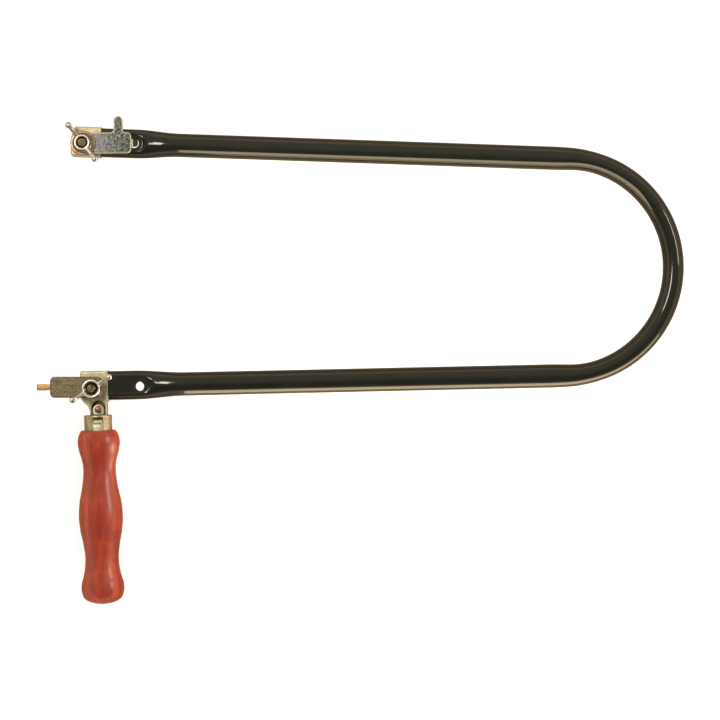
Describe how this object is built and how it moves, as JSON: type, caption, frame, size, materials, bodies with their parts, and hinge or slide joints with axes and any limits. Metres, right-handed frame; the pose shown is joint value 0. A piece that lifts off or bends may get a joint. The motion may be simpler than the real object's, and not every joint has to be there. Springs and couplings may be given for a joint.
{
  "type": "fret saw frame",
  "caption": "Tubular steel fret saw bow with a wing nut blade clamp at each free end and a turned wooden handle; fitted with no blade.",
  "frame": {"origin": "centre of the cross hole near the free end of the lower arm, in the middle of the tube's thickness", "axes": "+X from the blade clamps to the bend, +Y from the handle to the upper arm, +Z out of the bow's plane on the wing nuts' side"},
  "size_m": [0.3286, 0.248, 0.0265],
  "materials": {
    "black_lacquer": "gloss black lacquer over steel tube",
    "yellow_zinc": "yellow passivated zinc plate, satin",
    "bolt_steel": "zinc plated bolt steel",
    "dark_jaw": "tumbled nickel plated steel sheet",
    "olive_jaw": "tumbled steel sheet with an olive brown passivation",
    "washer_steel": "zinc plated washer",
    "nut_plate": "bright plated wing nut",
    "rivet_steel": "coppered rivet",
    "plain_steel": "plain steel",
    "red_wood": "turned hardwood, stained red and lacquered"
  },
  "bodies": {
    "frame": {"bow_tube": "black_lacquer", "upper_bracket": "yellow_zinc", "upper_bolt": "bolt_steel", "lower_bracket": "yellow_zinc", "lower_bolt": "bolt_steel", "handle_strap": "yellow_zinc", "strap_rivet": "rivet_steel", "tang_spike": "plain_steel", "ferrule": "yellow_zinc", "handle": "red_wood"},
    "upper_clamp": {"upper_washer": "washer_steel"},
    "upper_clamp_jaw": {"upper_jaw": "dark_jaw"},
    "upper_clamp_nut": {"upper_wing_nut": "nut_plate"},
    "lower_clamp": {"lower_washer": "washer_steel"},
    "lower_clamp_jaw": {"lower_jaw": "olive_jaw"},
    "lower_clamp_nut": {"lower_wing_nut": "nut_plate"}
  },
  "joints": [
    {"name": "upper_clamp_lift", "type": "slide", "parent": "frame", "child": "upper_clamp", "axis": [0, 0, 1], "range_m": [-0.002, 0.002]},
    {"name": "upper_nut_turn", "type": "hinge", "parent": "upper_clamp", "child": "upper_clamp_nut", "pos_m": [-0.02894, 0.12312, 0.0091], "axis": [0, 0, 1], "range_deg": [-900, 900]},
    {"name": "upper_jaw_swing", "type": "hinge", "parent": "upper_clamp", "child": "upper_clamp_jaw", "pos_m": [-0.02894, 0.12312, 0.0059], "axis": [0, 0, 1], "range_deg": [-90, 180]},
    {"name": "lower_clamp_lift", "type": "slide", "parent": "frame", "child": "lower_clamp", "axis": [0, 0, 1], "range_m": [-0.002, 0.002]},
    {"name": "lower_nut_turn", "type": "hinge", "parent": "lower_clamp", "child": "lower_clamp_nut", "pos_m": [-0.02348, -0.00116, 0.0091], "axis": [0, 0, 1], "range_deg": [-900, 900]},
    {"name": "lower_jaw_swing", "type": "hinge", "parent": "lower_clamp", "child": "lower_clamp_jaw", "pos_m": [-0.02348, -0.00116, 0.0059], "axis": [0, 0, 1], "range_deg": [-176, 40]}
  ],
  "couplings": [
    {"joint": "upper_clamp_lift", "follows": "upper_nut_turn", "m_per_rad": 0.00012732},
    {"joint": "lower_clamp_lift", "follows": "lower_nut_turn", "m_per_rad": 0.00012732}
  ]
}
